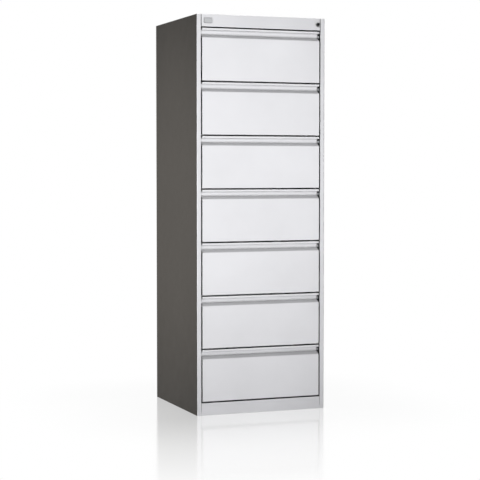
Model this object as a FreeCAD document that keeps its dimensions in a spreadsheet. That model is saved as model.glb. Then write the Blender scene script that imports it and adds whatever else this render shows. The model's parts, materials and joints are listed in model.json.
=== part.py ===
"""Seven-drawer steel cabinet for upright envelopes, as a parametric assembly in millimetres.

The frame: +X to the right and +Z up as someone facing the drawers sees them, +Y into the cabinet.
The origin lies on the floor under the middle of the cabinet.
Sketches count y from the front plane of the frame, and each drawer counts z from its own lower edge.
"""
import FreeCAD, Part
import os
import re
import Sketcher

# Driving sizes, each with what it measures

SIZES = {
    # overall
    "cabinet_width": 470.0,
    "cabinet_depth": 450.0,
    "cabinet_height": 1357.0,
    "drawer_count": 7,
    # sheet metal
    "shell_sheet": 1.0,
    "drawer_sheet": 1.0,
    "upright_sheet": 1.5,
    "runner_sheet": 1.2,
    "bend_radius": 0.8,
    # front frame
    "post_width": 15.0,
    "post_inner_leg": 30.0,
    "post_outer_leg": 20.0,
    "post_return": 7.0,
    "fascia_height": 41.0,
    "plinth_height": 42.5,
    "rail_leg": 28.0,
    "rail_return": 7.0,
    "side_setback": 2.0,
    "drawer_gap": 4.0,
    # shell
    "top_flange": 9.0,
    "rear_flange": 15.0,
    "floor_flange": 14.0,
    "floor_height": 21.0,
    "joint_gap": 0.3,
    # uprights that carry the runners
    "upright_width": 40.0,
    "front_upright_inset": 45.0,
    "rear_upright_inset": 20.0,
    "upright_slot_width": 6.0,
    "upright_slot_height": 14.0,
    "upright_slot_spacing": 26.0,
    # runners, all heights from the middle line of the runner
    "runner_depth": 12.7,
    "runner_height": 45.0,
    "runner_inset": 20.0,
    "runner_rear_gap": 29.0,
    "runner_lip": 3.0,
    "runner_clearance": 0.3,
    "runner_level": 62.0,
    "hat_height": 27.0,
    "stop_tab": 16.0,
    # drawer front with the grip folded along its top
    "grip_lip": 7.5,
    "grip_lip_return": 5.0,
    "grip_throat": 14.5,
    "grip_slope": 10.5,
    "grip_setback": 16.0,
    "front_return_gap": 1.0,
    # drawer tray and divider
    "tray_rise": 4.0,
    "tray_height": 148.0,
    "tray_rear_gap": 34.0,
    "tray_rim": 6.0,
    "divider_height": 132.0,
    "divider_shift": 30.0,
    "divider_foot": 16.0,
    "divider_hem": 4.0,
    "divider_clearance": 0.3,
    # lock barrel
    "lock_inset": 25.5,
    "lock_proud": 2.0,
    "bezel_radius": 7.5,
    "housing_radius": 6.5,
    "housing_depth": 10.0,
    "plug_radius": 5.2,
    "plug_recess": 0.5,
    "plug_clearance": 0.05,
    "keyway_width": 1.6,
    "keyway_length": 7.0,
    "keyway_depth": 4.0,
    "nut_flats": 17.0,
    "nut_thickness": 4.0,
    # cam that turns a quarter turn and lifts or drops the lock bar
    "cam_thickness": 2.0,
    "cam_gap": 0.5,
    "cam_throw": 8.5,
    "cam_hub_radius": 5.0,
    "cam_arm_radius": 3.0,
    "cam_pin_radius": 2.0,
    "cam_pin_slack": 0.6,
    # lock bar with one hook for each drawer
    "bar_sheet": 2.0,
    "bar_width": 9.0,
    "bar_inset": 2.0,
    "bar_foot": 60.0,
    "bar_head_wall": 5.0,
    "hook_height": 8.0,
    "hook_reach": 3.0,
    "hook_clearance": 0.5,
    "ear_reach": 3.4,
    "guide_count": 3,
    "guide_level": 45.0,
    "guide_height": 12.0,
    "guide_wall": 1.5,
    "guide_clearance": 0.3,
    # plain plate at the left end of the fascia
    "plate_width": 28.0,
    "plate_height": 16.0,
    "plate_thickness": 1.2,
    "plate_inset": 27.0,
    "plate_corner": 1.5,
}

# Sizes that follow from the ones above

DERIVED = {
    "front_plane": "-(cabinet_depth - lock_proud) / 2",
    "shell_inner": "cabinet_width / 2 - shell_sheet",
    "post_inner": "shell_inner - post_width",
    "front_half": "post_inner - drawer_gap",
    "front_height": "(cabinet_height - plinth_height - fascia_height) / drawer_count"
                    " - drawer_gap * (drawer_count + 1) / drawer_count",
    "pitch": "front_height + drawer_gap",
    "lowest_drawer": "plinth_height + drawer_gap",
    "back_inner": "cabinet_depth - shell_sheet",
    "bend_outer": "bend_radius + shell_sheet",
    "grip_back": "grip_setback + drawer_sheet",
    "throat_foot": "front_height - grip_lip - grip_throat",
    "slope_foot": "throat_foot - grip_slope",
    "slope_shift": "drawer_sheet * tan(atan(grip_setback / grip_slope) / 2)",
    "tray_half": "post_inner - runner_depth",
    "tray_back": "back_inner - tray_rear_gap",
    "tray_length": "tray_back - grip_back",
    "runner_half": "runner_height / 2",
    "runner_end": "back_inner - runner_rear_gap",
    "runner_length": "runner_end - runner_inset",
    "member_length": "runner_length - runner_sheet - runner_clearance",
    "middle_half": "runner_half - runner_sheet - runner_clearance",
    "hat_half": "middle_half - runner_sheet - runner_clearance",
    "lock_x": "cabinet_width / 2 - lock_inset",
    "lock_z": "cabinet_height - fascia_height / 2",
    "cam_front": "housing_depth + cam_gap",
    "hook_front": "grip_back - hook_clearance - bar_sheet",
    "bar_front": "hook_front + bar_sheet",
    "bar_back": "bar_front + bar_sheet",
    "bar_left": "post_inner + shell_sheet + bar_inset",
    "bar_right": "bar_left + bar_width",
    "bar_travel": "cam_throw * sqrt(2)",
    "bar_rise": "cam_throw / sqrt(2)",
    "hook_tip": "post_inner - hook_reach",
    "lowest_hook": "lowest_drawer + tray_rise + tray_height - hook_height + bar_travel",
    "slot_half": "cam_pin_radius + cam_pin_slack",
    "slot_level": "lock_z + bar_rise",
    "slot_left": "lock_x + bar_rise - slot_half",
    "head_high": "slot_level + slot_half + bar_head_wall",
}

doc = FreeCAD.newDocument("EnvelopeCabinet")
sheet = doc.addObject("Spreadsheet::Sheet", "Sizes")
for row, (alias, value) in enumerate(SIZES.items(), start=1):
    sheet.set("A%d" % row, alias)
    sheet.set("B%d" % row, str(value))
    sheet.setAlias("B%d" % row, alias)
doc.recompute()


def bound(text):
    """The expression with derived names written out and every size name pointing at its cell."""
    def replace(match):
        word = match.group(0)
        if word in DERIVED:
            return "(" + bound(DERIVED[word]) + ")"
        return "Sizes." + word if word in SIZES else word
    return re.sub(r"[a-z_]+", replace, text)


def amount(text):
    """The value of an expression, as a plain number."""
    result = sheet.evalExpression(bound(text))
    return float(getattr(result, "Value", result))


def bind(target, prop, text):
    """Let a property follow an expression of the sizes."""
    target.setExpression(prop, bound(text))


def new_body(label, level="0"):
    """An empty piece whose sketches count y from the front plane and z from the given level."""
    body = doc.addObject("PartDesign::Body", label)
    body.Label = label
    body.AllowCompound = True
    bind(body, "Placement.Base.y", "front_plane")
    bind(body, "Placement.Base.z", level)
    return body


def origin_feature(body, role):
    """One of the body's own base planes or axes."""
    return next(feature for feature in body.Origin.OriginFeatures if feature.Role == role)


def sketch_on(body, plane, start):
    """An empty sketch across the named plane, at the given coordinate along the plane's axis."""
    sketch = body.newObject("Sketcher::SketchObject", "Outline")
    sketch.AttachmentSupport = [(origin_feature(body, plane + "_Plane"), "")]
    sketch.MapMode = "FlatFace"
    sign = "-" if plane == "XZ" else ""
    bind(sketch, "AttachmentOffset.Base.z", "%s(%s)" % (sign, start))
    return sketch


def polygon(sketch, corners):
    """A closed loop of straight lines through corners that follow the sizes."""
    first = sketch.GeometryCount
    points = [FreeCAD.Vector(amount(across), amount(up), 0) for across, up in corners]
    count = len(corners)
    for index in range(count):
        line = Part.LineSegment(points[index], points[(index + 1) % count])
        sketch.addGeometry(line, False)
    for index in range(count):
        following = first + (index + 1) % count
        sketch.addConstraint(Sketcher.Constraint("Coincident", first + index, 2, following, 1))
    for index, (across, up) in enumerate(corners):
        for kind, text, value in (("DistanceX", across, points[index].x), ("DistanceY", up, points[index].y)):
            number = sketch.addConstraint(Sketcher.Constraint(kind, -1, 1, first + index, 1, value))
            bind(sketch, "Constraints[%d]" % number, text)


def circle(sketch, across, up, radius):
    """A circle whose centre and radius follow the sizes."""
    centre = FreeCAD.Vector(amount(across), amount(up), 0)
    round_line = Part.Circle(centre, FreeCAD.Vector(0, 0, 1), amount(radius))
    index = sketch.addGeometry(round_line, False)
    for kind, text, value in (("DistanceX", across, centre.x), ("DistanceY", up, centre.y)):
        number = sketch.addConstraint(Sketcher.Constraint(kind, -1, 1, index, 3, value))
        bind(sketch, "Constraints[%d]" % number, text)
    number = sketch.addConstraint(Sketcher.Constraint("Radius", index, amount(radius)))
    bind(sketch, "Constraints[%d]" % number, radius)


def rectangle(left, low, right, high):
    """The four corners of an upright rectangle."""
    return [(left, low), (right, low), (right, high), (left, high)]


def draw(sketch, shapes):
    """Fill a sketch: a list is a polygon, a tuple is a circle."""
    for shape in shapes:
        if isinstance(shape, tuple):
            circle(sketch, *shape)
        else:
            polygon(sketch, shape)


def grow(body, plane, shapes, start, length):
    """Pad outlines from a start coordinate towards the plane's positive axis."""
    sketch = sketch_on(body, plane, start)
    draw(sketch, shapes)
    feature = body.newObject("PartDesign::Pad", "Grow")
    feature.Profile = sketch
    feature.Reversed = plane == "XZ"
    bind(feature, "Length", length)
    doc.recompute()
    return feature


def cut(body, plane, shapes, start, length):
    """Pocket outlines from a start coordinate towards the plane's positive axis."""
    before = body.Shape.Volume
    sketch = sketch_on(body, plane, start)
    draw(sketch, shapes)
    feature = body.newObject("PartDesign::Pocket", "Cut")
    feature.Profile = sketch
    feature.Reversed = plane != "XZ"
    bind(feature, "Length", length)
    doc.recompute()
    if not body.Shape.Volume < before:
        raise RuntimeError("a pocket cuts nothing in " + body.Label)
    return feature


def repeat_up(body, feature, spacing, count="drawer_count"):
    """Repeat a feature upwards at a steady spacing."""
    pattern = body.newObject("PartDesign::LinearPattern", "Repeat")
    pattern.Originals = [feature]
    pattern.Direction = (origin_feature(body, "Z_Axis"), [""])
    bind(pattern, "Length", "(%s) * (%s - 1)" % (spacing, count))
    bind(pattern, "Occurrences", count)
    body.Tip = pattern
    doc.recompute()
    return pattern


def mirror_across(body, feature):
    """Repeat a feature on the other side of the cabinet's middle plane."""
    mirrored = body.newObject("PartDesign::Mirrored", "OtherSide")
    mirrored.Originals = [feature]
    mirrored.MirrorPlane = (origin_feature(body, "YZ_Plane"), [""])
    body.Tip = mirrored
    doc.recompute()
    return mirrored


def bend_edges(shape, direction, thickness, convex):
    """Names of the edges along one direction where the sheet folds, on the fold's outside or inside."""
    names = []
    for number, edge in enumerate(shape.Edges, start=1):
        if not isinstance(edge.Curve, Part.Line) or abs(edge.Curve.Direction.dot(direction)) < 0.999:
            continue
        faces = shape.ancestorsOfType(edge, Part.Face)
        widths = [face.Area / edge.Length for face in faces]
        if len(faces) != 2 or min(widths) < 1.5 * thickness:
            continue
        if not all(isinstance(face.Surface, Part.Plane) for face in faces):
            continue
        middle = (edge.Vertexes[0].Point + edge.Vertexes[1].Point) * 0.5
        into = FreeCAD.Vector()
        for face in faces:
            step = face.CenterOfMass - middle
            step -= direction * step.dot(direction)
            into += step.normalize()
        probe = middle + into.normalize() * (0.2 * thickness)
        if shape.isInside(probe, 1e-6, False) == convex:
            names.append("Edge%d" % number)
    return names


def round_bends(body, direction, sheet_name):
    """Give every fold along one direction its outside and inside radius."""
    for convex, radius in ((True, "bend_radius + " + sheet_name), (False, "bend_radius")):
        base = body.Tip
        names = bend_edges(base.Shape, direction, amount(sheet_name), convex)
        fillet = body.newObject("PartDesign::Fillet", "Bend")
        fillet.Base = (base, names)
        bind(fillet, "Radius", radius)
        doc.recompute()


ALONG_X = FreeCAD.Vector(1, 0, 0)
ALONG_Y = FreeCAD.Vector(0, 1, 0)
ALONG_Z = FreeCAD.Vector(0, 0, 1)

SIDES = (("left", "-"), ("right", ""))


def on_side(sign, corners):
    """Corners drawn for the right-hand side, turned over for the left when the sign is minus."""
    return [("%s(%s)" % (sign, across), up) for across, up in corners]


# Shell


def side_panel(side, sign):
    """Outer side wall with a fold behind the back panel's edge and one along the floor."""
    body = new_body("side_panel_" + side)
    plate = [
        ("shell_inner", "side_setback"),
        ("cabinet_width / 2", "side_setback"),
        ("cabinet_width / 2", "back_inner"),
        ("shell_inner - rear_flange", "back_inner"),
        ("shell_inner - rear_flange", "back_inner - shell_sheet"),
        ("shell_inner", "back_inner - shell_sheet"),
    ]
    grow(body, "XY", [on_side(sign, plate)], "0", "cabinet_height")
    round_bends(body, ALONG_Z, "shell_sheet")
    under_top = rectangle("shell_inner - rear_flange", "back_inner - shell_sheet - bend_radius",
                          "shell_inner", "cabinet_depth")
    cut(body, "XY", [on_side(sign, under_top)], "cabinet_height - shell_sheet", "shell_sheet")
    foot = rectangle("shell_inner - floor_flange", "post_inner_leg + joint_gap",
                     "shell_inner + shell_sheet / 2", "back_inner - 2 * shell_sheet")
    grow(body, "XY", [on_side(sign, foot)], "0", "shell_sheet")


def back_panel():
    """Flat back wall between the side walls, under the top."""
    body = new_body("back_panel")
    wall = rectangle("-shell_inner", "back_inner", "shell_inner", "cabinet_depth")
    grow(body, "XY", [wall], "0", "cabinet_height - shell_sheet")


def top_panel():
    """Top sheet behind the front faces, with flanges hanging inside the walls."""
    body = new_body("top_panel")
    level = "cabinet_height - shell_sheet"
    flat = rectangle("-shell_inner", "shell_sheet", "shell_inner", "cabinet_depth - joint_gap")
    grow(body, "XY", [flat], level, "shell_sheet")
    half = "post_inner - joint_gap"
    side_start = "post_outer_leg + joint_gap"
    side_end = "back_inner - 2 * shell_sheet"
    flanges = [
        rectangle("-(%s)" % half, "shell_sheet", half, "2 * shell_sheet"),
        rectangle("-(%s)" % half, "back_inner - shell_sheet", half, "back_inner"),
        rectangle("shell_inner - shell_sheet", side_start, "shell_inner", side_end),
        rectangle("-shell_inner", side_start, "-(shell_inner - shell_sheet)", side_end),
    ]
    grow(body, "XY", flanges, level + " - top_flange", "top_flange")


def base_panel():
    """Floor sheet standing on its own flanges, behind the plinth."""
    body = new_body("base_panel")
    flat = rectangle("-shell_inner", "post_inner_leg", "shell_inner", "back_inner - shell_sheet - bend_radius")
    grow(body, "XY", [flat], "floor_height - shell_sheet", "shell_sheet")
    half = "post_inner - joint_gap"
    flanges = [
        rectangle("-(%s)" % half, "post_inner_leg", half, "post_inner_leg + shell_sheet"),
        rectangle("-(%s)" % half, "back_inner - 2 * shell_sheet", half, "back_inner - shell_sheet"),
    ]
    grow(body, "XY", flanges, "0", "floor_height - shell_sheet / 2")


# Front frame


def front_post(side, sign):
    """Folded post: outer leg against the side wall, front face, and a deep inner leg."""
    body = new_body("front_post_" + side)
    section = [
        ("post_inner", "0"),
        ("shell_inner", "0"),
        ("shell_inner", "post_outer_leg"),
        ("shell_inner - shell_sheet", "post_outer_leg"),
        ("shell_inner - shell_sheet", "shell_sheet"),
        ("post_inner + shell_sheet", "shell_sheet"),
        ("post_inner + shell_sheet", "post_inner_leg - shell_sheet"),
        ("post_inner + post_return", "post_inner_leg - shell_sheet"),
        ("post_inner + post_return", "post_inner_leg"),
        ("post_inner", "post_inner_leg"),
    ]
    grow(body, "XY", [on_side(sign, section)], "0", "cabinet_height")
    round_bends(body, ALONG_Z, "shell_sheet")
    under_top = rectangle("post_inner", "shell_sheet", "shell_inner", "post_inner_leg")
    cut(body, "XY", [on_side(sign, under_top)], "cabinet_height - shell_sheet", "shell_sheet")
    if side == "right":
        passage = rectangle("hook_front - hook_clearance", "lowest_hook - bar_travel - hook_clearance",
                            "bar_front + hook_clearance", "lowest_hook + hook_height + hook_clearance")
        slot = cut(body, "YZ", [passage], "post_inner", "shell_sheet")
        repeat_up(body, slot, "pitch")
        notch = rectangle("cam_front - cam_gap", "cabinet_height - fascia_height + shell_sheet",
                          "post_inner_leg", "cabinet_height - shell_sheet")
        cut(body, "YZ", [notch], "post_inner", "post_return")


def rail(label, section):
    """Folded rail between the posts, with the given section."""
    body = new_body(label)
    half = "post_inner - joint_gap"
    grow(body, "YZ", [section], "-(%s)" % half, "2 * (%s)" % half)
    round_bends(body, ALONG_X, "shell_sheet")
    return body


def returned_leg(level, depth, towards):
    """Corners of a leg that runs inwards at a level and ends in a short return, up or down."""
    inside = "%s %s shell_sheet" % (level, towards)
    tip = "%s %s rail_return" % (level, towards)
    return [
        (depth, level),
        (depth, tip),
        (depth + " - shell_sheet", tip),
        (depth + " - shell_sheet", inside),
        ("shell_sheet", inside),
    ]


def top_fascia():
    """Rail above the top drawer, bored for the lock barrel."""
    low = "cabinet_height - fascia_height"
    leg = returned_leg(low, "rail_leg", "+")
    face = [("shell_sheet", "cabinet_height"), ("0", "cabinet_height"), ("0", low)]
    body = rail("top_fascia", face + leg)
    cut(body, "XZ", [("lock_x", "lock_z", "housing_radius + plug_clearance")], "0", "shell_sheet")


def plinth_rail():
    """Rail below the bottom drawer, standing on the floor."""
    upper = returned_leg("plinth_height", "rail_leg", "-")
    lower = returned_leg("0", "post_inner_leg", "+")
    rail("plinth_rail", lower[::-1] + [("0", "0"), ("0", "plinth_height")] + upper)


def name_plate():
    """Plain plate with rounded corners near the fascia's left end."""
    body = new_body("blank_plate")
    left = "-cabinet_width / 2 + plate_inset"
    face = rectangle(left, "lock_z - plate_height / 2", left + " + plate_width", "lock_z + plate_height / 2")
    grow(body, "XZ", [face], "-plate_thickness", "plate_thickness")
    base = body.Tip
    fillet = body.newObject("PartDesign::Fillet", "Corners")
    fillet.Base = (base, ["Edge%d" % number for number, edge in enumerate(base.Shape.Edges, start=1)
                          if abs(edge.Curve.Direction.dot(ALONG_Y)) > 0.999])
    bind(fillet, "Radius", "plate_corner")
    doc.recompute()


# Uprights


def upright(place, side, sign, near):
    """Channel welded inside a side wall, slotted at every drawer for the runner's hooks."""
    body = new_body("upright_%s_%s" % (place, side))
    far = near + " + upright_width"
    section = [
        ("post_inner", near),
        ("shell_inner", near),
        ("shell_inner", near + " + upright_sheet"),
        ("post_inner + upright_sheet", near + " + upright_sheet"),
        ("post_inner + upright_sheet", far + " - upright_sheet"),
        ("shell_inner", far + " - upright_sheet"),
        ("shell_inner", far),
        ("post_inner", far),
    ]
    grow(body, "XY", [on_side(sign, section)], "floor_height",
         "cabinet_height - shell_sheet - top_flange - floor_height")
    middle = near + " + upright_width / 2"
    slots = []
    for shift in ("-upright_slot_spacing / 2", "upright_slot_spacing / 2"):
        level = "lowest_drawer + runner_level + (%s)" % shift
        slots.append(rectangle("%s - upright_slot_width / 2" % middle, "%s - upright_slot_height / 2" % level,
                               "%s + upright_slot_width / 2" % middle, "%s + upright_slot_height / 2" % level))
    start = "post_inner" if side == "right" else "-(post_inner + upright_sheet)"
    slot = cut(body, "YZ", slots, start, "upright_sheet")
    repeat_up(body, slot, "pitch")


# Runners


def runner_across(sign, section):
    """Turn a runner section, drawn as depth from the upright and height, into cabinet coordinates."""
    return on_side(sign, [("post_inner - (%s)" % depth, height) for depth, height in section])


def mirrored_heights(half):
    """Add the lower half of a section to its upper half, drawn from the web outwards."""
    lower = [(depth, "-(%s)" % height) for depth, height in reversed(half)]
    return half + lower


def outer_members(side, sign):
    """The fixed channels of one side, one for each drawer, with a tab that stops the moving members."""
    body = new_body("runner_outer_" + side, "lowest_drawer + runner_level")
    mouth = "runner_depth - runner_sheet"
    half = [
        ("0", "runner_half"),
        (mouth, "runner_half"),
        (mouth, "runner_half - runner_sheet - runner_lip"),
        (mouth + " - runner_sheet", "runner_half - runner_sheet - runner_lip"),
        (mouth + " - runner_sheet", "runner_half - runner_sheet"),
        ("runner_sheet", "runner_half - runner_sheet"),
    ]
    one = grow(body, "XZ", [runner_across(sign, mirrored_heights(half))], "runner_inset", "runner_length")
    tab = rectangle("runner_sheet / 2", "-stop_tab / 2", "runner_depth - runner_sheet", "stop_tab / 2")
    stop = grow(body, "XZ", [runner_across(sign, tab)], "runner_end - runner_sheet", "runner_sheet")
    pattern = body.newObject("PartDesign::LinearPattern", "Repeat")
    pattern.Originals = [one, stop]
    pattern.Direction = (origin_feature(body, "Z_Axis"), [""])
    bind(pattern, "Length", "pitch * (drawer_count - 1)")
    bind(pattern, "Occurrences", "drawer_count")
    body.Tip = pattern
    doc.recompute()


def middle_members(number, level):
    """The pair of channels that slide in the fixed ones and carry the drawer's own."""
    body = new_body("drawer_%d_runner_middle" % number, level + " + runner_level")
    web = "runner_sheet + runner_clearance"
    mouth = "runner_depth - 2 * runner_sheet - runner_clearance"
    half = [
        (web, "middle_half"),
        (mouth, "middle_half"),
        (mouth, "middle_half - runner_sheet - runner_lip"),
        (mouth + " - runner_sheet", "middle_half - runner_sheet - runner_lip"),
        (mouth + " - runner_sheet", "middle_half - runner_sheet"),
        (web + " + runner_sheet", "middle_half - runner_sheet"),
    ]
    pad = grow(body, "XZ", [runner_across("", mirrored_heights(half))], "runner_inset", "member_length")
    mirror_across(body, pad)


def inner_members(number, level):
    """The pair of hat sections on the drawer's sides, held behind the lips of the middle members."""
    body = new_body("drawer_%d_runner_inner" % number, level + " + runner_level")
    foot = "2 * (runner_sheet + runner_clearance)"
    half = [
        ("runner_depth", "hat_height / 2"),
        (foot + " + runner_sheet", "hat_height / 2"),
        (foot + " + runner_sheet", "hat_half"),
        (foot, "hat_half"),
        (foot, "hat_height / 2 - runner_sheet"),
        ("runner_depth - runner_sheet", "hat_height / 2 - runner_sheet"),
    ]
    pad = grow(body, "XZ", [runner_across("", mirrored_heights(half))], "runner_inset", "member_length")
    mirror_across(body, pad)


# Drawers


def drawer_front(number, level):
    """Folded front whose top edge makes the full-width finger grip."""
    body = new_body("drawer_%d_front" % number, level)
    lip_foot = "front_height - grip_lip"
    section = [
        ("grip_back", "0"),
        ("0", "0"),
        ("0", "slope_foot"),
        ("grip_setback", "throat_foot"),
        ("grip_setback", "front_height - drawer_sheet"),
        ("drawer_sheet", "front_height - drawer_sheet"),
        ("drawer_sheet", lip_foot + " + drawer_sheet"),
        ("grip_lip_return", lip_foot + " + drawer_sheet"),
        ("grip_lip_return", lip_foot),
        ("0", lip_foot),
        ("0", "front_height"),
        ("grip_back", "front_height"),
        ("grip_back", "throat_foot - slope_shift"),
        ("drawer_sheet", "slope_foot - slope_shift"),
        ("drawer_sheet", "drawer_sheet"),
        ("grip_back", "drawer_sheet"),
    ]
    grow(body, "YZ", [section], "-front_half", "2 * front_half")
    round_bends(body, ALONG_X, "drawer_sheet")
    end_wall = rectangle("drawer_sheet / 2", "bend_outer", "grip_back", "slope_foot - front_return_gap")
    wall = grow(body, "YZ", [end_wall], "front_half - drawer_sheet", "drawer_sheet")
    mirror_across(body, wall)


def drawer_tray(number, level):
    """Folded tray with rims along its sides and an ear at the front that the lock bar's hook holds."""
    body = new_body("drawer_%d_tray" % number, level + " + tray_rise")
    inner = "tray_half - drawer_sheet"
    section = [
        ("-tray_half", "0"),
        ("tray_half", "0"),
        ("tray_half", "tray_height"),
        (inner, "tray_height"),
        (inner, "drawer_sheet"),
        ("-(%s)" % inner, "drawer_sheet"),
        ("-(%s)" % inner, "tray_height"),
        ("-tray_half", "tray_height"),
    ]
    grow(body, "XZ", [section], "grip_back", "tray_length")
    round_bends(body, ALONG_Y, "drawer_sheet")
    rim = rectangle("tray_half - drawer_sheet / 2", "tray_height - drawer_sheet",
                    "tray_half + tray_rim", "tray_height")
    mirror_across(body, grow(body, "XZ", [rim], "grip_back", "tray_length"))
    end = rectangle("-(tray_half - drawer_sheet / 2)", "drawer_sheet / 2",
                    "tray_half - drawer_sheet / 2", "tray_height")
    grow(body, "XZ", [end], "grip_back", "drawer_sheet")
    grow(body, "XZ", [end], "tray_back - drawer_sheet", "drawer_sheet")
    ear = rectangle("tray_half - drawer_sheet / 2", "tray_height - hook_height",
                    "front_half + ear_reach", "tray_height")
    grow(body, "XZ", [ear], "grip_back", "drawer_sheet")


def drawer_divider(number, level):
    """Lengthwise divider with a foot on the tray's floor and a hem along its top.

    It stands off the middle, so that the left row takes wider envelopes than the right one.
    """
    body = new_body("drawer_%d_divider" % number, level + " + tray_rise + drawer_sheet")
    left = "divider_shift - drawer_sheet / 2"
    right = "divider_shift + drawer_sheet / 2"
    hem = right + " + divider_hem"
    section = [
        (left, "0"),
        ("divider_shift + divider_foot", "0"),
        ("divider_shift + divider_foot", "drawer_sheet"),
        (right, "drawer_sheet"),
        (right, "divider_height - drawer_sheet"),
        (hem, "divider_height - drawer_sheet"),
        (hem, "divider_height"),
        (left, "divider_height"),
    ]
    start = "grip_back + drawer_sheet + divider_clearance"
    grow(body, "XZ", [section], start, "tray_length - 2 * (drawer_sheet + divider_clearance)")


# Lock


def lock_housing():
    """Fixed barrel: a bezel proud of the fascia and a sleeve through it."""
    body = new_body("lock_housing")
    bore = ("lock_x", "lock_z", "plug_radius + plug_clearance")
    grow(body, "XZ", [("lock_x", "lock_z", "bezel_radius")], "-lock_proud", "lock_proud")
    grow(body, "XZ", [("lock_x", "lock_z", "housing_radius")], "-lock_proud / 2", "housing_depth + lock_proud / 2")
    cut(body, "XZ", [bore], "-lock_proud", "housing_depth + lock_proud")


def hexagon(flats):
    """Corners of a hexagon round the lock's axis with two sides upright."""
    half = flats + " / 2"
    reach = flats + " / sqrt(3)"
    return [
        ("lock_x + " + half, "lock_z + " + reach + " / 2"),
        ("lock_x", "lock_z + " + reach),
        ("lock_x - " + half, "lock_z + " + reach + " / 2"),
        ("lock_x - " + half, "lock_z - " + reach + " / 2"),
        ("lock_x", "lock_z - " + reach),
        ("lock_x + " + half, "lock_z - " + reach + " / 2"),
    ]


def lock_nut():
    """Hexagon nut that clamps the barrel behind the fascia."""
    body = new_body("lock_nut")
    grow(body, "XZ", [hexagon("nut_flats")], "shell_sheet", "nut_thickness")
    cut(body, "XZ", [("lock_x", "lock_z", "housing_radius")], "shell_sheet", "nut_thickness")


def lock_plug():
    """Plug that the key turns, with its keyway upright when the drawers are free."""
    body = new_body("lock_plug")
    start = "-(lock_proud - plug_recess)"
    grow(body, "XZ", [("lock_x", "lock_z", "plug_radius")], start, "cam_front + lock_proud - plug_recess")
    keyway = rectangle("lock_x - keyway_width / 2", "lock_z - keyway_length / 2",
                       "lock_x + keyway_width / 2", "lock_z + keyway_length / 2")
    cut(body, "XZ", [keyway], start, "keyway_depth")


def lock_cam():
    """Arm on the plug's end whose pin works in the slot of the lock bar's head."""
    body = new_body("lock_cam")
    pin_x = "lock_x + bar_rise"
    pin_z = "lock_z + bar_rise"
    side = "cam_arm_radius / sqrt(2)"
    arm = [
        ("lock_x + " + side, "lock_z - " + side),
        (pin_x + " + " + side, pin_z + " - " + side),
        (pin_x + " - " + side, pin_z + " + " + side),
        ("lock_x - " + side, "lock_z + " + side),
    ]
    grow(body, "XZ", [("lock_x", "lock_z", "cam_hub_radius")], "cam_front", "cam_thickness")
    grow(body, "XZ", [arm], "cam_front", "cam_thickness")
    grow(body, "XZ", [(pin_x, pin_z, "cam_arm_radius")], "cam_front", "cam_thickness")
    grow(body, "XZ", [(pin_x, pin_z, "cam_pin_radius")], "cam_front", "bar_front + cam_gap - cam_front")


def lock_bar():
    """Flat strip behind the right post that slides up and down."""
    body = new_body("lock_bar")
    strip = rectangle("bar_left", "bar_foot", "bar_right", "head_high")
    grow(body, "XZ", [strip], "bar_front", "bar_sheet")


def lock_bar_head():
    """Slotted plate welded to the top of the strip, where the cam's pin works."""
    body = new_body("lock_bar_head")
    plate = rectangle("slot_left - bar_head_wall / 2", "slot_level - slot_half - bar_head_wall",
                      "bar_right", "head_high")
    grow(body, "XZ", [plate], "hook_front", "bar_sheet")
    slot = rectangle("slot_left", "slot_level - slot_half",
                     "lock_x + cam_throw + slot_half", "slot_level + slot_half")
    cut(body, "XZ", [slot], "hook_front", "bar_sheet")


def lock_bar_hooks():
    """Tabs welded to the strip, one for each drawer, that reach through the post's slots."""
    body = new_body("lock_bar_hooks")
    hook = rectangle("hook_tip", "lowest_hook", "bar_right", "lowest_hook + hook_height")
    one = grow(body, "XZ", [hook], "hook_front", "bar_sheet")
    repeat_up(body, one, "pitch")


def lock_bar_guides():
    """Clips welded inside the right post that hold the bar and let it slide."""
    body = new_body("lock_bar_guides")
    reach = "guide_clearance + guide_wall"
    shell = rectangle("bar_left - (%s)" % reach, "bar_front - (%s)" % reach,
                      "shell_inner - shell_sheet", "bar_back + (%s)" % reach)
    passage = rectangle("bar_left - guide_clearance", "bar_front - guide_clearance",
                        "bar_right + guide_clearance", "bar_back + guide_clearance")
    clip = grow(body, "XY", [shell, passage], "lowest_drawer + guide_level", "guide_height")
    repeat_up(body, clip, "pitch * (drawer_count - 1) / (guide_count - 1)", "guide_count")


for side, sign in SIDES:
    side_panel(side, sign)
    front_post(side, sign)
    upright("front", side, sign, "front_upright_inset")
    upright("rear", side, sign, "cabinet_depth - rear_upright_inset - upright_width")
    outer_members(side, sign)
back_panel()
top_panel()
base_panel()
top_fascia()
plinth_rail()
name_plate()
for number in range(1, SIZES["drawer_count"] + 1):
    level = "lowest_drawer + pitch * (drawer_count - %d)" % number
    drawer_front(number, level)
    drawer_tray(number, level)
    drawer_divider(number, level)
    middle_members(number, level)
    inner_members(number, level)
lock_housing()
lock_nut()
lock_plug()
lock_cam()
lock_bar()
lock_bar_head()
lock_bar_hooks()
lock_bar_guides()
doc.recompute()

for item in doc.Objects:
    if "Invalid" in item.State or "Error" in item.State:
        raise RuntimeError("%s failed: %s" % (item.Label, item.State))

bodies = [item for item in doc.Objects if item.TypeId == "PartDesign::Body"]
for body in bodies:
    if body.Shape.isNull() or not body.Shape.isValid():
        raise RuntimeError("no valid shape in " + body.Label)

os.makedirs("parts", exist_ok=True)
for body in bodies:
    body.Shape.exportStep("parts/%s.step" % body.Label)
    box = body.Shape.BoundBox
    print("%-26s %2d solids  x %8.2f %8.2f  y %8.2f %8.2f  z %8.2f %8.2f" % (
        body.Label, len(body.Shape.Solids), box.XMin, box.XMax, box.YMin, box.YMax, box.ZMin, box.ZMax))
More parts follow.
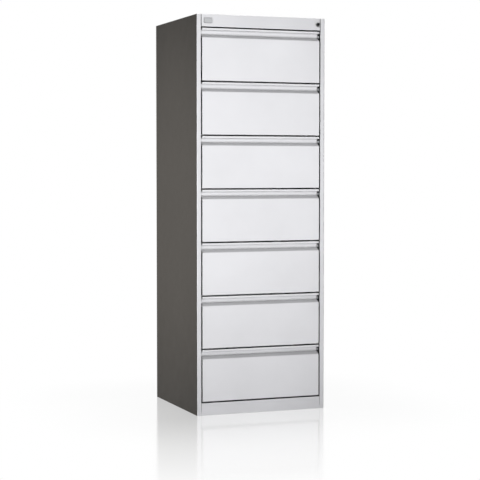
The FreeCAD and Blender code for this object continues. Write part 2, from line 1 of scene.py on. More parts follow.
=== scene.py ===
"""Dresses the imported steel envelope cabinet: folded fronts and fascia, lock bezel, rivets, paint and
plating, studio and camera.

Everything is in metres, in the frame's own coordinates: +X right and +Z up as someone facing the drawers
sees them, +Y into the cabinet, origin on the floor under its middle.
"""
import json
import logging
import math
from dataclasses import dataclass, field
from enum import Enum
from typing import Iterable, Sequence

import bmesh
import bpy
from mathutils import Euler, Matrix, Vector

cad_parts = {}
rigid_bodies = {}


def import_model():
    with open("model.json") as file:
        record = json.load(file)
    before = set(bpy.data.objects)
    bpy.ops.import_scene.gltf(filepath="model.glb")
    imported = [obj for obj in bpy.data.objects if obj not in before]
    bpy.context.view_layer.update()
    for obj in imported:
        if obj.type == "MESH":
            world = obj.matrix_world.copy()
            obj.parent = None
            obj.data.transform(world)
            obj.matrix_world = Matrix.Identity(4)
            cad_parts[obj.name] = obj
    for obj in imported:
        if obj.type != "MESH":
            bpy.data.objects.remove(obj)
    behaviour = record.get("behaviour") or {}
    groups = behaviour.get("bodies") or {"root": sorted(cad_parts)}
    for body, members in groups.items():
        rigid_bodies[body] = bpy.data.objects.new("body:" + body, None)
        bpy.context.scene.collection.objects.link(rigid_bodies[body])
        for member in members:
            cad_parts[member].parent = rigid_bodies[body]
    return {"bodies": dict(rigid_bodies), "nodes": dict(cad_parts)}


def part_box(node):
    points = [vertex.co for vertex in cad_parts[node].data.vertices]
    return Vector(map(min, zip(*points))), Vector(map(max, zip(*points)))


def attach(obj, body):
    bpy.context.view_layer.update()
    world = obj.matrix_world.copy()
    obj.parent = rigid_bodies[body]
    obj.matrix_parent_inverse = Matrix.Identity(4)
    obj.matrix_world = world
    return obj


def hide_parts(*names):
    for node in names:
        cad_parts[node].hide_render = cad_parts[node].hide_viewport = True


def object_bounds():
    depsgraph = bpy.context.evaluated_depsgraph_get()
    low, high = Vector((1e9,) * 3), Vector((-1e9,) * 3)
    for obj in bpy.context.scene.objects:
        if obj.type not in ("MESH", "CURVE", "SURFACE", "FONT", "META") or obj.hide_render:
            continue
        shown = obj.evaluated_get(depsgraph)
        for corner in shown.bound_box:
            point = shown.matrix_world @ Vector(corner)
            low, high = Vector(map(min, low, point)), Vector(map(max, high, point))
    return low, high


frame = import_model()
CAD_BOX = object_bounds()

LOG = logging.getLogger("cabinet")
MM = 0.001
MERGE_DISTANCE = 1e-6
WHITE = (1.0, 1.0, 1.0, 1.0)

# Nearly all values of a noise pattern lie in this span.
NOISE_SPAN = {"From Min": 0.3, "From Max": 0.7}

# The inputs and the output of a mix of numbers and of a mix of colours, which share their names.
NUMBER_A, NUMBER_B, NUMBER_MIX = 2, 3, 0
COLOUR_A, COLOUR_B, COLOUR_MIX = 6, 7, 2

Point = tuple[float, float, float]
Corner = tuple[float, float, float]
Span = tuple[float, float]
Tree = bpy.types.NodeTree
Output = bpy.types.NodeSocket
Piece = bpy.types.Object
Mesh = bpy.types.Mesh
Finish = bpy.types.Material


def linear(hex_colour: str) -> tuple[float, float, float, float]:
    """Turns an sRGB hex colour into linear values.

    Args:
        hex_colour: Six hex digits with a leading mark, such as "#d4d6d9".

    Returns:
        Linear red, green and blue, and an alpha of one.
    """
    parts = [int(hex_colour[start:start + 2], 16) / 255 for start in (1, 3, 5)]
    curve = [part / 12.92 if part <= 0.04045 else ((part + 0.055) / 1.055) ** 2.4 for part in parts]
    return (curve[0], curve[1], curve[2], 1.0)


def feed(node: bpy.types.Node, links: dict) -> None:
    """Gives a node its values and links.

    Args:
        node: The node.
        links: Input name or index to a value, or to the output socket that feeds it.
    """
    for name, value in links.items():
        if isinstance(value, Output):
            node.id_data.links.new(value, node.inputs[name])
        else:
            node.inputs[name].default_value = value


def add_node(tree: Tree, kind: str, links: dict | None = None, **settings: object) -> bpy.types.Node:
    """Adds one node with its settings, values and links.

    Args:
        tree: The node tree that gets the node.
        kind: The node's type name.
        links: Its values and links, as for feed.
        settings: Properties of the node itself.

    Returns:
        The new node.
    """
    node = tree.nodes.new(kind)
    for name, value in settings.items():
        setattr(node, name, value)
    feed(node, links or {})
    return node


def start_finish(name: str) -> tuple[Finish, bpy.types.Node, Output]:
    """Starts a material.

    Args:
        name: The material's name.

    Returns:
        The material, its shader, and the point on the surface that its patterns read.
    """
    material = bpy.data.materials.new(name)
    material.use_nodes = True
    tree = material.node_tree
    return material, tree.nodes["Principled BSDF"], add_node(tree, "ShaderNodeTexCoord").outputs["Object"]


def start_shape_tree(name: str, ports: Iterable[tuple[str, str]]) -> Tree:
    """Starts a tree that makes a shape from named inputs.

    Args:
        name: The tree's name.
        ports: Name and kind of each input but the finish, which every tree has.

    Returns:
        The tree.
    """
    tree = bpy.data.node_groups.new(name, "GeometryNodeTree")
    for port, kind in (*ports, ("Finish", "Material")):
        tree.interface.new_socket(port, in_out="INPUT", socket_type=f"NodeSocket{kind}")
    tree.interface.new_socket("Shape", in_out="OUTPUT", socket_type="NodeSocketGeometry")
    return tree


def end_shape_tree(tree: Tree, shape: Output, finish: Output) -> None:
    """Ends a tree with real faces and their finish.

    Args:
        tree: The tree.
        shape: What it has made.
        finish: The material of all its faces.
    """
    real = add_node(tree, "GeometryNodeRealizeInstances", {"Geometry": shape})
    dressed = add_node(tree, "GeometryNodeSetMaterial", {"Geometry": real.outputs[0], "Material": finish})
    add_node(tree, "NodeGroupOutput", {"Shape": dressed.outputs[0]})


def join_to_scene(name: str, mesh: Mesh) -> Piece:
    """Puts a mesh into the scene as an object at the origin.

    Args:
        name: The piece's name.
        mesh: Its mesh, already in place.

    Returns:
        The new object.
    """
    piece = bpy.data.objects.new(name, mesh)
    bpy.context.scene.collection.objects.link(piece)
    return piece


def mesh_from(name: str, shape: bmesh.types.BMesh) -> Mesh:
    """Turns a draft shape into a mesh with merged points and outward faces, and frees it.

    Args:
        name: The mesh's name.
        shape: The draft to use up.

    Returns:
        The finished mesh.
    """
    bmesh.ops.remove_doubles(shape, verts=shape.verts, dist=MERGE_DISTANCE)
    bmesh.ops.recalc_face_normals(shape, faces=shape.faces)
    mesh = bpy.data.meshes.new(name)
    shape.to_mesh(mesh)
    shape.free()
    return mesh


def dress_mesh(mesh: Mesh, finish: Finish, sharp_angle: float) -> None:
    """Gives a mesh its finish, smooth bends and sharp edges.

    Args:
        mesh: The mesh.
        finish: Its material.
        sharp_angle: Degrees from which an edge is sharp.
    """
    mesh.materials.append(finish)
    mesh.shade_smooth()
    mesh.set_sharp_from_angle(angle=math.radians(sharp_angle))


def plain_mesh(holder: Piece) -> Mesh:
    """Turns an object and its modifier into a plain mesh, and removes them.

    Args:
        holder: The object to use up.

    Returns:
        What its modifier made.
    """
    ready = holder.evaluated_get(bpy.context.evaluated_depsgraph_get())
    mesh = bpy.data.meshes.new_from_object(ready)
    holder.modifiers.clear()
    bpy.data.objects.remove(holder)
    return mesh


def run_tree(tree: Tree, start: Mesh, values: dict[str, object]) -> Mesh:
    """Runs a tree on a mesh.

    Args:
        tree: The tree.
        start: The mesh that it starts from.
        values: The tree's named inputs.

    Returns:
        What it makes.
    """
    ports = {item.name: item.identifier for item in tree.interface.items_tree if item.in_out == "INPUT"}
    holder = join_to_scene("holder", start)
    modifier = holder.modifiers.new("tree", "NODES")
    modifier.node_group = tree
    for name, value in values.items():
        modifier[ports[name]] = value
    return plain_mesh(holder)


class Slot(Enum):
    """The record's material slots."""

    SHELL = "shell_paint"
    FRONT = "front_paint"
    TRAY = "tray_paint"
    ZINC = "galvanised"
    LOCK = "lock_chrome"
    CORE = "lock_core"
    PLATE = "plate"


@dataclass(frozen=True)
class PowderCoat:
    """Polyester powder coat, sprayed on pressed steel and baked.

    The baked film flows into a faint orange peel, so a lamp's reflection is soft and slightly broken. It
    thins over folded edges, where the colour is a touch paler; that paler band also carries a painted
    highlight along the bends. Narrow gaps and faces that look up get painted shade.
    """

    name: str
    colour: str
    # Paler edge colour: partly the thinner coat over folds, partly a painted highlight.
    edge_and_highlight_colour: str
    roughness: float
    gloss_spread: Span = (-0.03, 0.05)
    peel_size: float = 2.2 * MM
    peel_depth: float = 0.010 * MM
    peel_octaves: float = 1.0
    cloud_size: float = 260 * MM
    cloud_strength: float = 0.035
    cloud_octaves: float = 3.0
    cloud_falloff: float = 0.55
    handling_size: float = 55.6 * MM
    handling_octaves: float = 4.0
    edge_width: float = 1.2 * MM
    edge_and_highlight_share: float = 0.6
    edge_facing: Span = (0.99, 0.80)
    ior: float = 1.5
    specular: float = 0.2
    # Painted shade in narrow gaps, from how closed in each point is.
    gap_reach: float = 9 * MM
    gap_closed: float = 0.60
    gap_open: float = 1.0
    gap_shade: float = 0.02
    # Painted shade on faces that look up.
    upward_shade_span: Span = (0.45, 0.80)
    upward_shade: float = 1.0
    samples: int = 6

    def _painted_gap_shade(self, tree: Tree, place: Output) -> Output:
        """Paints shade into the coat in narrow gaps between parts, by how closed in each point is: near black
        where closed.

        The painted shade fades out at the foot, because what stands close to it is only the floor.

        Args:
            tree: The material's nodes.
            place: The point on the surface.

        Returns:
            The share of the colour that is left.
        """
        # Painted shade: the colour falls to near black where the surface is closed in.
        air = add_node(tree, "ShaderNodeAmbientOcclusion", {"Distance": self.gap_reach}, samples=self.samples)
        gap = add_node(tree, "ShaderNodeMapRange",
                       {"Value": air.outputs["AO"], "From Min": self.gap_closed, "From Max": self.gap_open,
                        "To Min": self.gap_shade, "To Max": 1.0})
        level = add_node(tree, "ShaderNodeSeparateXYZ", {0: place}).outputs["Z"]
        foot = add_node(tree, "ShaderNodeMapRange",
                        {"Value": level, "From Min": self.gap_reach, "From Max": 2 * self.gap_reach,
                         "To Min": 1.0, "To Max": 0.0})
        return add_node(tree, "ShaderNodeMath", {0: gap.outputs["Result"], 1: foot.outputs["Result"]},
                        operation="MAXIMUM").outputs[0]

    def _painted_upward_shade(self, tree: Tree, normal: Output) -> Output:
        """Paints shade on the coat where it faces up, since the light comes mostly from the front.

        Args:
            tree: The material's nodes.
            normal: The way the surface faces.

        Returns:
            The share of the colour that is left.
        """
        # Painted shade, darker the more the surface faces up.
        upward = add_node(tree, "ShaderNodeSeparateXYZ", {0: normal}).outputs["Z"]
        start, end = self.upward_shade_span
        return add_node(tree, "ShaderNodeMapRange",
                        {"Value": upward, "From Min": start, "From Max": end, "To Min": 1.0,
                         "To Max": self.upward_shade}).outputs["Result"]

    def _cover(self, tree: Tree, place: Output, coat: Output) -> Output:
        """The colour of the coat, everywhere the same unless a kind of coat says otherwise.

        Args:
            tree: The material's nodes.
            place: The point on the surface.
            coat: The coat's colour there.

        Returns:
            The colour that is seen.
        """
        return coat

    def _tint(self, tree: Tree, place: Output, rounded: Output) -> Output:
        """The coat's colour, faintly cloudy, paler on edges from thinner coat and painted highlight, with
        painted shade in gaps and on faces that look up.

        Args:
            tree: The material's nodes.
            place: The point on the surface.
            rounded: The way the surface faces where its edges are rounded.

        Returns:
            The colour.
        """
        clouds = add_node(tree, "ShaderNodeTexNoise",
                          {"Vector": place, "Scale": 1 / self.cloud_size, "Detail": self.cloud_octaves,
                           "Roughness": self.cloud_falloff})
        cloudy = add_node(tree, "ShaderNodeMapRange",
                          {**NOISE_SPAN, "Value": clouds.outputs["Fac"],
                           "To Min": 1 - self.cloud_strength, "To Max": 1 + self.cloud_strength})
        normal = add_node(tree, "ShaderNodeNewGeometry").outputs["Normal"]
        facing = add_node(tree, "ShaderNodeVectorMath", {0: rounded, 1: normal}, operation="DOT_PRODUCT")
        flat, bent = self.edge_facing
        # Paler edges: partly thinner coat over the folds, partly a painted highlight along the bends.
        edge = add_node(tree, "ShaderNodeMapRange",
                        {"Value": facing.outputs["Value"], "From Min": flat, "From Max": bent,
                         "To Min": 0.0, "To Max": self.edge_and_highlight_share})
        coat = add_node(tree, "ShaderNodeMix",
                        {"Factor": edge.outputs["Result"], COLOUR_A: linear(self.colour),
                         COLOUR_B: linear(self.edge_and_highlight_colour)}, data_type="RGBA")
        left = cloudy.outputs["Result"]
        for share in (self._painted_upward_shade(tree, normal), self._painted_gap_shade(tree, place)):
            left = add_node(tree, "ShaderNodeMath", {0: left, 1: share}, operation="MULTIPLY").outputs[0]
        cover = self._cover(tree, place, coat.outputs[COLOUR_MIX])
        return add_node(tree, "ShaderNodeVectorMath", {0: cover, "Scale": left},
                        operation="SCALE").outputs["Vector"]

    def build(self) -> Finish:
        """Makes the material.

        Returns:
            The finished material.
        """
        material, shader, place = start_finish(self.name)
        tree = material.node_tree
        bevel = add_node(tree, "ShaderNodeBevel", {"Radius": self.edge_width}, samples=self.samples)
        rounded = bevel.outputs["Normal"]
        peel = add_node(tree, "ShaderNodeTexNoise",
                        {"Vector": place, "Scale": 1 / self.peel_size, "Detail": self.peel_octaves})
        bump = add_node(tree, "ShaderNodeBump",
                        {"Height": peel.outputs["Fac"], "Distance": self.peel_depth, "Normal": rounded})
        handling = add_node(tree, "ShaderNodeTexNoise",
                            {"Vector": place, "Scale": 1 / self.handling_size,
                             "Detail": self.handling_octaves})
        glossy, dull = self.gloss_spread
        gloss = add_node(tree, "ShaderNodeMapRange",
                         {**NOISE_SPAN, "Value": handling.outputs["Fac"],
                          "To Min": self.roughness + glossy, "To Max": self.roughness + dull})
        feed(shader, {"Base Color": self._tint(tree, place, rounded), "Roughness": gloss.outputs["Result"],
                      "Normal": bump.outputs["Normal"], "IOR": self.ior, "Specular IOR Level": self.specular})
        return material


@dataclass(frozen=True)
class FaceCoat(PowderCoat):
    """Powder coat on the face of a frame, with painted shade on the legs behind the face.

    The legs folded inwards are painted near black as painted shade, so the gaps beside the drawers and the
    ends of the grips look black.
    """

    face: float = 0.0
    shade_depth: float = 1.6 * MM
    shade_edge: float = 0.5 * MM
    painted_shade_colour: str = "#121212"

    def _cover(self, tree: Tree, place: Output, coat: Output) -> Output:
        """The coat in front, and painted shade, near black, on the legs behind it.

        Args:
            tree: The material's nodes.
            place: The point on the surface.
            coat: The coat's colour there.

        Returns:
            The colour that is seen.
        """
        # Painted shade: near black from a little behind the face's plane.
        depth = add_node(tree, "ShaderNodeSeparateXYZ", {0: place}).outputs["Y"]
        start = self.face + self.shade_depth
        behind = add_node(tree, "ShaderNodeMapRange",
                          {"Value": depth, "From Min": start, "From Max": start + self.shade_edge})
        return add_node(tree, "ShaderNodeMix",
                        {"Factor": behind.outputs["Result"], COLOUR_A: coat,
                         COLOUR_B: linear(self.painted_shade_colour)}, data_type="RGBA").outputs[COLOUR_MIX]


@dataclass(frozen=True)
class ZincSheet:
    """Electro-galvanised steel strip, rolled and bright-plated.

    It looks a little milky, with fine rolling lines along the strip and patches that dull differently.
    """

    name: str = "zinc_plated_steel"
    colour: str = "#b9bcbf"
    dull_colour: str = "#8f9397"
    dull_share: float = 0.45
    roughness: float = 0.38
    gloss_spread: Span = (-0.06, 0.08)
    patch_size: float = 14 * MM
    line_spacing: float = 0.8 * MM
    line_depth: float = 0.01 * MM
    line_strength: float = 0.8
    line_stretch: float = 50.0
    line_octaves: float = 2.0

    def build(self) -> Finish:
        """Makes the material.

        Returns:
            The finished material.
        """
        material, shader, place = start_finish(self.name)
        tree = material.node_tree
        patches = add_node(tree, "ShaderNodeTexVoronoi", {"Vector": place, "Scale": 1 / self.patch_size})
        blend = add_node(tree, "ShaderNodeMapRange",
                         {"Value": patches.outputs["Color"], "To Min": 0.0, "To Max": self.dull_share})
        colour = add_node(tree, "ShaderNodeMix",
                          {"Factor": blend.outputs["Result"], COLOUR_A: linear(self.colour),
                           COLOUR_B: linear(self.dull_colour)}, data_type="RGBA")
        along = add_node(tree, "ShaderNodeMapping",
                         {"Vector": place, "Scale": (1.0, 1 / self.line_stretch, 1.0)})
        lines = add_node(tree, "ShaderNodeTexNoise",
                         {"Vector": along.outputs["Vector"], "Scale": 1 / self.line_spacing,
                          "Detail": self.line_octaves})
        glossy, dull = self.gloss_spread
        gloss = add_node(tree, "ShaderNodeMapRange",
                         {**NOISE_SPAN, "Value": lines.outputs["Fac"],
                          "To Min": self.roughness + glossy, "To Max": self.roughness + dull})
        bump = add_node(tree, "ShaderNodeBump",
                        {"Height": lines.outputs["Fac"], "Distance": self.line_depth,
                         "Strength": self.line_strength})
        feed(shader, {"Base Color": colour.outputs[COLOUR_MIX], "Roughness": gloss.outputs["Result"],
                      "Normal": bump.outputs["Normal"], "Metallic": 1.0})
        return material


@dataclass(frozen=True)
class PolishedMetal:
    """Turned or pressed metal with a bright plated or anodised skin.

    Fine marks from handling break up its reflections. Where it was brushed, they run in one direction.
    """

    name: str
    colour: str
    roughness: float
    mark_size: Point
    mark_depth: float = 0.004 * MM
    mark_strength: float = 0.6
    mark_shade: float = 0.93
    mark_octaves: float = 3.0
    gloss_shares: Span = (0.8, 1.3)

    def build(self) -> Finish:
        """Makes the material.

        Returns:
            The finished material.
        """
        material, shader, place = start_finish(self.name)
        tree = material.node_tree
        scaled = add_node(tree, "ShaderNodeMapping",
                          {"Vector": place, "Scale": tuple(1 / size for size in self.mark_size)})
        marks = add_node(tree, "ShaderNodeTexNoise",
                         {"Vector": scaled.outputs["Vector"], "Scale": 1.0,
                          "Detail": self.mark_octaves}).outputs["Fac"]
        glossy, dull = self.gloss_shares
        tone, gloss = (
            add_node(tree, "ShaderNodeMapRange",
                     {**NOISE_SPAN, "Value": marks, "To Min": low, "To Max": high}).outputs["Result"]
            for low, high in ((self.mark_shade, 1.0), (self.roughness * glossy, self.roughness * dull)))
        tint = add_node(tree, "ShaderNodeVectorMath", {0: linear(self.colour)[:3], "Scale": tone},
                        operation="SCALE")
        bump = add_node(tree, "ShaderNodeBump",
                        {"Height": marks, "Distance": self.mark_depth, "Strength": self.mark_strength})
        feed(shader, {"Base Color": tint.outputs["Vector"], "Roughness": gloss,
                      "Normal": bump.outputs["Normal"], "Metallic": 1.0})
        return material


class Finishes:
    """Every finish on the cabinet, built once and shared by its pieces."""

    def __init__(self) -> None:
        """Builds the materials."""
        self.materials: dict[Slot, Finish] = {
            # The shell's dark colour was set to how dark the shaded left side looks, so it is partly painted
            # shade.
            Slot.SHELL: PowderCoat("anthracite_coat_and_painted_shade", "#413e3a", "#4e4b46", 0.58,
                                   peel_size=1.6 * MM, peel_depth=0.016 * MM, cloud_strength=0.02).build(),
            # The white edge over a wide band is a painted highlight along the folds; faces that look up get
            # painted shade.
            Slot.FRONT: PowderCoat("light_grey_powder_coat", "#d5d5d8", "#ffffff", 0.36,
                                   edge_width=2.4 * MM, edge_and_highlight_share=0.85, upward_shade=0.70).build(),
            Slot.TRAY: PowderCoat("tray_grey_powder_coat", "#c3c5c8", "#d2d3d6", 0.46).build(),
            Slot.ZINC: ZincSheet().build(),
            Slot.LOCK: PolishedMetal("bright_chrome_plating", "#c9cacb", 0.14,
                                     (4 * MM, 4 * MM, 4 * MM)).build(),
            Slot.CORE: PowderCoat("black_lock_enamel", "#0d0d0e", "#1c1c1d", 0.30,
                                  peel_size=0.8 * MM, edge_width=0.3 * MM).build(),
            Slot.PLATE: PolishedMetal("brushed_anodised_aluminium", "#9fa0a2", 0.36,
                                      (30 * MM, 0.5 * MM, 0.5 * MM)).build(),
        }
        # Frame coat: paler edges as painted highlight, painted shade on faces that look up, and near-black
        # painted shade on the legs behind the face.
        self.frame_coat: Finish = FaceCoat("frame_powder_coat", "#cdcdd0", "#f8f8fa", 0.36, upward_shade=0.70,
                                           face=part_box("top_fascia")[0].y).build()

    def dress(self, names: Iterable[str], finish: Finish) -> None:
        """Gives nodes of the frame one material each.

        Args:
            names: The nodes' names.
            finish: The material.
        """
        for name in names:
            materials = frame["nodes"][name].data.materials
            materials.clear()
            materials.append(finish)

    def dress_slots(self, slots: dict[Slot, tuple[str, ...]], stem: str = "") -> None:
        """Gives nodes of the frame the materials of their slots.

        Args:
            slots: For each slot the names of its nodes.
            stem: What their names start with.
        """
        for slot, names in slots.items():
            self.dress((stem + name for name in names), self.materials[slot])


@dataclass
class DomedHeads:
    """Rows of small domed rivet heads, made by one node tree.

    The tree sets a low domed head on every point it is given, turned to face the named direction.
    """

    radius: float = 3.2 * MM
    height: float = 1.6 * MM
    rim: float = 0.5 * MM
    shoulder_radius: float = 0.72
    shoulder_rise: float = 0.65
    crown_radius: float = 0.34
    sides: int = 16
    tree: Tree = field(init=False)

    def __post_init__(self) -> None:
        """Builds the tree with its named inputs."""
        tree = start_shape_tree("domed_heads", (
            ("Points", "Geometry"), ("Head Radius", "Float"), ("Head Height", "Float"),
            ("Rim Height", "Float"), ("Turn", "Rotation")))
        given = add_node(tree, "NodeGroupInput").outputs
        radius, rim = given["Head Radius"], given["Rim Height"]
        dome = add_node(tree, "ShaderNodeMath", {0: given["Head Height"], 1: rim}, operation="SUBTRACT")
        shoulder, crown, low_rise, high_rise = (
            add_node(tree, "ShaderNodeMath", {0: whole, 1: share}, operation="MULTIPLY").outputs[0]
            for whole, share in ((radius, self.shoulder_radius), (radius, self.crown_radius),
                                 (dome.outputs[0], self.shoulder_rise),
                                 (dome.outputs[0], 1 - self.shoulder_rise)))
        top = add_node(tree, "ShaderNodeMath", {0: rim, 1: low_rise}, operation="ADD").outputs[0]
        head = add_node(tree, "GeometryNodeJoinGeometry")
        for lower, upper, depth, level in ((radius, radius, rim, 0.0), (radius, shoulder, low_rise, rim),
                                           (shoulder, crown, high_rise, top)):
            tier = add_node(tree, "GeometryNodeMeshCone",
                            {"Vertices": self.sides, "Radius Top": upper, "Radius Bottom": lower,
                             "Depth": depth}, fill_type="NGON")
            lift = add_node(tree, "ShaderNodeCombineXYZ", {"Z": level})
            raised = add_node(tree, "GeometryNodeTransform",
                              {"Geometry": tier.outputs["Mesh"], "Translation": lift.outputs[0]})
            tree.links.new(raised.outputs[0], head.inputs[0])
        copies = add_node(tree, "GeometryNodeInstanceOnPoints",
                          {"Points": given["Points"], "Instance": head.outputs[0], "Rotation": given["Turn"]})
        end_shape_tree(tree, copies.outputs["Instances"], given["Finish"])
        self.tree = tree

    def place(self, name: str, rows: Iterable[tuple[Sequence[Point], Euler]], finish: Finish) -> Piece:
        """Makes one piece out of several rows of heads.

        Args:
            name: The piece's name.
            rows: For each row, where its heads stand and how they are turned from facing up.
            finish: The material of the heads.

        Returns:
            The new piece, a plain mesh.
        """
        whole = bmesh.new()
        for points, turn in rows:
            dots = bpy.data.meshes.new("dots")
            dots.from_pydata(points, [], [])
            whole.from_mesh(run_tree(self.tree, dots, {
                "Head Radius": self.radius, "Head Height": self.height, "Rim Height": self.rim,
                "Turn": tuple(turn), "Finish": finish}))
        mesh = bpy.data.meshes.new(name)
        whole.to_mesh(mesh)
        whole.free()
        mesh.materials.append(finish)
        return join_to_scene(name, mesh)


@dataclass(frozen=True)
class Sheet:
    """One sheet with a constant section, given before it is turned into place.

    Each corner of the section has its two places and the radius of its bend.
    """

    corners: Sequence[Corner]
    length: float
    turn: Point
    shift: Point


@dataclass
class SheetFolder:
    """Folds sheets with one node tree.

    The tree rounds each corner of a section by its own radius, fills the section, draws it out over the
    sheet's length, closes it and turns it into place.
    """

    steps: int = 6
    sharp_angle: float = 30.0
    across: Point = (math.pi / 2, 0.0, math.pi / 2)
    upright: Point = (0.0, 0.0, 0.0)
    tree: Tree = field(init=False)

    def __post_init__(self) -> None:
        """Builds the tree with its named inputs."""
        tree = start_shape_tree("folded_sheet", (
            ("Section", "Geometry"), ("Length", "Float"), ("Bend Steps", "Int"), ("Turn", "Rotation"),
            ("Shift", "Vector")))
        given = add_node(tree, "NodeGroupInput").outputs
        loop = add_node(tree, "GeometryNodeMeshToCurve", {"Mesh": given["Section"]})
        bend = add_node(tree, "GeometryNodeInputNamedAttribute", {"Name": "bend"}, data_type="FLOAT")
        rounded = add_node(tree, "GeometryNodeFilletCurve",
                           {"Curve": loop.outputs["Curve"], "Radius": bend.outputs["Attribute"],
                            "Count": given["Bend Steps"]}, mode="POLY")
        flat = add_node(tree, "GeometryNodeFillCurve", {"Curve": rounded.outputs["Curve"]}, mode="NGONS")
        along = add_node(tree, "ShaderNodeCombineXYZ", {"Z": given["Length"]})
        drawn = add_node(tree, "GeometryNodeExtrudeMesh",
                         {"Mesh": flat.outputs["Mesh"], "Offset": along.outputs[0], "Offset Scale": 1.0,
                          "Individual": False}, mode="FACES")
        cap = add_node(tree, "GeometryNodeFlipFaces", {"Mesh": flat.outputs["Mesh"]})
        both = add_node(tree, "GeometryNodeJoinGeometry")
        for part in (drawn, cap):
            tree.links.new(part.outputs["Mesh"], both.inputs[0])
        closed = add_node(tree, "GeometryNodeMergeByDistance",
                          {"Geometry": both.outputs[0], "Distance": MERGE_DISTANCE})
        placed = add_node(tree, "GeometryNodeTransform",
                          {"Geometry": closed.outputs[0], "Translation": given["Shift"],
                           "Rotation": given["Turn"]})
        end_shape_tree(tree, placed.outputs[0], given["Finish"])
        self.tree = tree

    def fold(self, name: str, sheets: Iterable[Sheet], finish: Finish) -> Mesh:
        """Folds the sheets of one piece.

        Args:
            name: The mesh's name.
            sheets: The sheets that make the piece.
            finish: Its material.

        Returns:
            One mesh with smooth bends and sharp cut edges.
        """
        shape = bmesh.new()
        for sheet in sheets:
            count = len(sheet.corners)
            outline = bpy.data.meshes.new("section")
            outline.from_pydata([(first, second, 0.0) for first, second, _ in sheet.corners],
                                [(index, (index + 1) % count) for index in range(count)], [])
            bends = outline.attributes.new("bend", "FLOAT", "POINT")
            bends.data.foreach_set("value", [bend for _, _, bend in sheet.corners])
            shape.from_mesh(run_tree(self.tree, outline, {
                "Length": sheet.length, "Bend Steps": self.steps, "Turn": sheet.turn,
                "Shift": sheet.shift, "Finish": finish}))
        mesh = mesh_from(name, shape)
        dress_mesh(mesh, finish, self.sharp_angle)
        return mesh


@dataclass(frozen=True)
class Bends:
    """Thickness of the painted sheet steel and the radii of its bends and cut edges."""

    sheet: float = 1.0 * MM
    outer: float = 1.8 * MM
    inner: float = 0.8 * MM
    cut: float = 0.15 * MM


@dataclass
class FoldedFronts:
    """The folded drawer fronts, all alike: a face, a grip over the full width and two end returns."""

    folder: SheetFolder
    finish: Finish
    bends: Bends = Bends()
    depth: float = 17.0 * MM
    lip_height: float = 7.5 * MM
    lip_return: float = 5.0 * MM
    grip_height: float = 22.0 * MM
    slope_rise: float = 10.5 * MM
    return_edge: float = 0.5 * MM
    return_foot: float = 1.8 * MM
    slope_bend: float = 6.0 * MM
    mesh: Mesh = field(init=False)

    def __post_init__(self) -> None:
        """Folds one front, with its face on zero depth and its foot on zero height."""
        low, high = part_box("drawer_1_front")
        size = high - low
        sheets = [Sheet(self._section(size.z), size.x, self.folder.across, (-size.x / 2, 0.0, 0.0))]
        sheets += [self._end_return(side * size.x / 2, size.z) for side in (-1, 1)]
        self.mesh = self.folder.fold("folded_front", sheets, self.finish)

    def _section(self, height: float) -> list[Corner]:
        """Lists the corners of the front's section, measured back from its face and up from its foot.

        Args:
            height: Height of the front.

        Returns:
            The corners in order.
        """
        bends = self.bends
        sheet = bends.sheet
        grip = height - self.grip_height
        face = grip - self.slope_rise
        lip = height - self.lip_height
        throat = self.depth - sheet
        lean = sheet * math.tan(math.atan2(throat, self.slope_rise) / 2)
        return [(self.depth, 0.0, bends.cut), (0.0, 0.0, bends.outer), (0.0, face, self.slope_bend),
                (throat, grip, bends.inner), (throat, height - sheet, bends.inner),
                (sheet, height - sheet, bends.inner), (sheet, lip + sheet, bends.inner),
                (self.lip_return, lip + sheet, bends.cut), (self.lip_return, lip, bends.cut),
                (0.0, lip, bends.outer), (0.0, height, bends.outer), (self.depth, height, bends.outer),
                (self.depth, grip - lean, bends.outer), (sheet, face - lean, self.slope_bend - sheet),
                (sheet, sheet, bends.inner), (self.depth, sheet, bends.cut)]

    def _end_return(self, side: float, height: float) -> Sheet:
        """The narrow return that closes the front's hollow at one end.

        Args:
            side: Where that end of the front is.
            height: Height of the front.

        Returns:
            The sheet.
        """
        edge = side - math.copysign(self.bends.sheet, side)
        corners = [(edge, self.return_edge, self.bends.cut), (side, self.return_edge, self.bends.cut),
                   (side, self.depth, self.bends.cut), (edge, self.depth, self.bends.cut)]
        face = height - self.grip_height - self.slope_rise
        length = face - self.bends.sheet - self.return_foot
        return Sheet(corners, length, self.folder.upright, (0.0, 0.0, self.return_foot))

    def place(self, name: str, node: str) -> Piece:
        """Puts one front in place of a drawer's own.

        Args:
            name: The piece's name.
            node: The node that it stands for.

        Returns:
            The new piece.
        """
        low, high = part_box(node)
        mesh = self.mesh.copy()
        mesh.transform(Matrix.Translation(((low.x + high.x) / 2, low.y, low.z)))
        piece = join_to_scene(name, mesh)
        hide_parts(node)
        return piece


